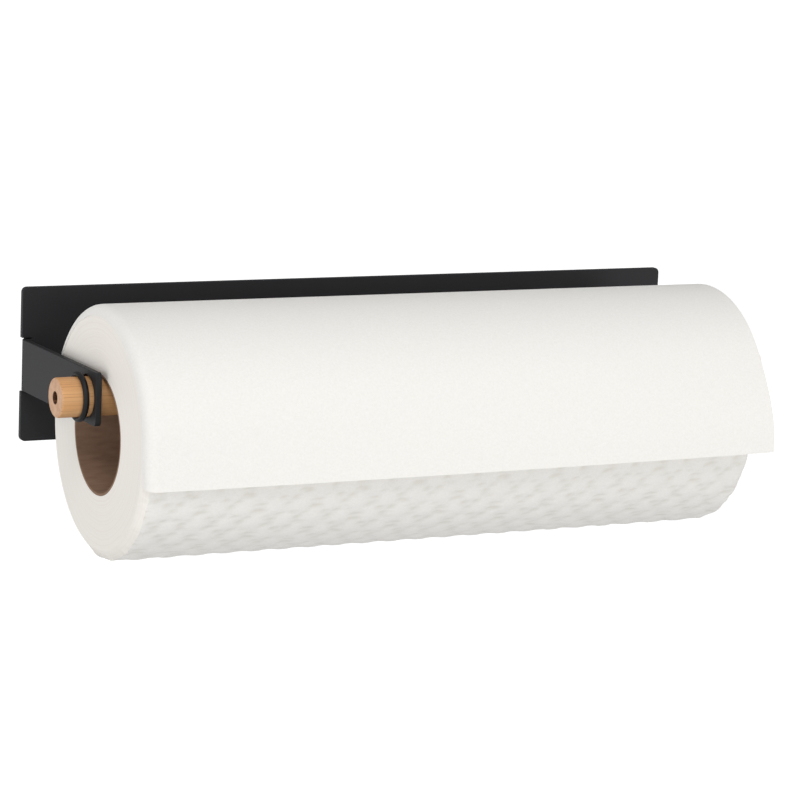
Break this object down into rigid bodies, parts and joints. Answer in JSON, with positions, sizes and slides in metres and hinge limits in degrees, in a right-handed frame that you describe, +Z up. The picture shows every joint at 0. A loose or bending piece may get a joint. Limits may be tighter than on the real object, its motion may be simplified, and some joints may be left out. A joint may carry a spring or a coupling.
{
  "type": "paper towel holder",
  "caption": "Paper towel holder with a flat magnetic back plate, bent side arms, a wooden rod kept in by rubber rings, and a hanging paper roll.",
  "frame": {"origin": "centre of the backing's rear face, which lies against the wall or refrigerator", "axes": "+Y into the wall, so the roll hangs towards -Y; +X along the rod; +Z up"},
  "size_m": [0.3265, 0.1369, 0.1029],
  "materials": {
    "bracket_steel": "satin",
    "pad_rubber": "matte",
    "magnet_nickel": "satin",
    "rod_bamboo": "satin",
    "ring_rubber": "matte",
    "core_board": "matte",
    "towel_paper": "matte"
  },
  "bodies": {
    "holder": {"bracket": "bracket_steel", "backing_pad": "pad_rubber", "magnet_1": "magnet_nickel", "magnet_2": "magnet_nickel", "magnet_3": "magnet_nickel", "magnet_4": "magnet_nickel", "magnet_5": "magnet_nickel", "magnet_6": "magnet_nickel", "magnet_7": "magnet_nickel", "magnet_8": "magnet_nickel"},
    "left_ring": {"o_ring_left": "ring_rubber"},
    "rod": {"rod": "rod_bamboo"},
    "right_ring": {"o_ring_right": "ring_rubber"},
    "roll": {"core_tube": "core_board", "towel_roll": "towel_paper", "loose_sheet": "towel_paper"}
  },
  "joints": [
    {"name": "rod_draw", "type": "slide", "parent": "holder", "child": "left_ring", "axis": [-1, 0, 0], "range_m": [-0.0018, 0.33]},
    {"name": "rod_spin", "type": "hinge", "parent": "left_ring", "child": "rod", "pos_m": [0, -0.0783, -0.0003], "axis": [1, 0, 0], "continuous": true},
    {"name": "right_ring_pull_off", "type": "slide", "parent": "holder", "child": "right_ring", "axis": [1, 0, 0], "range_m": [0, 0.02]},
    {"name": "roll_spin", "type": "hinge", "parent": "holder", "child": "roll", "pos_m": [0, -0.0783, -0.0157], "axis": [1, 0, 0], "continuous": true}
  ]
}
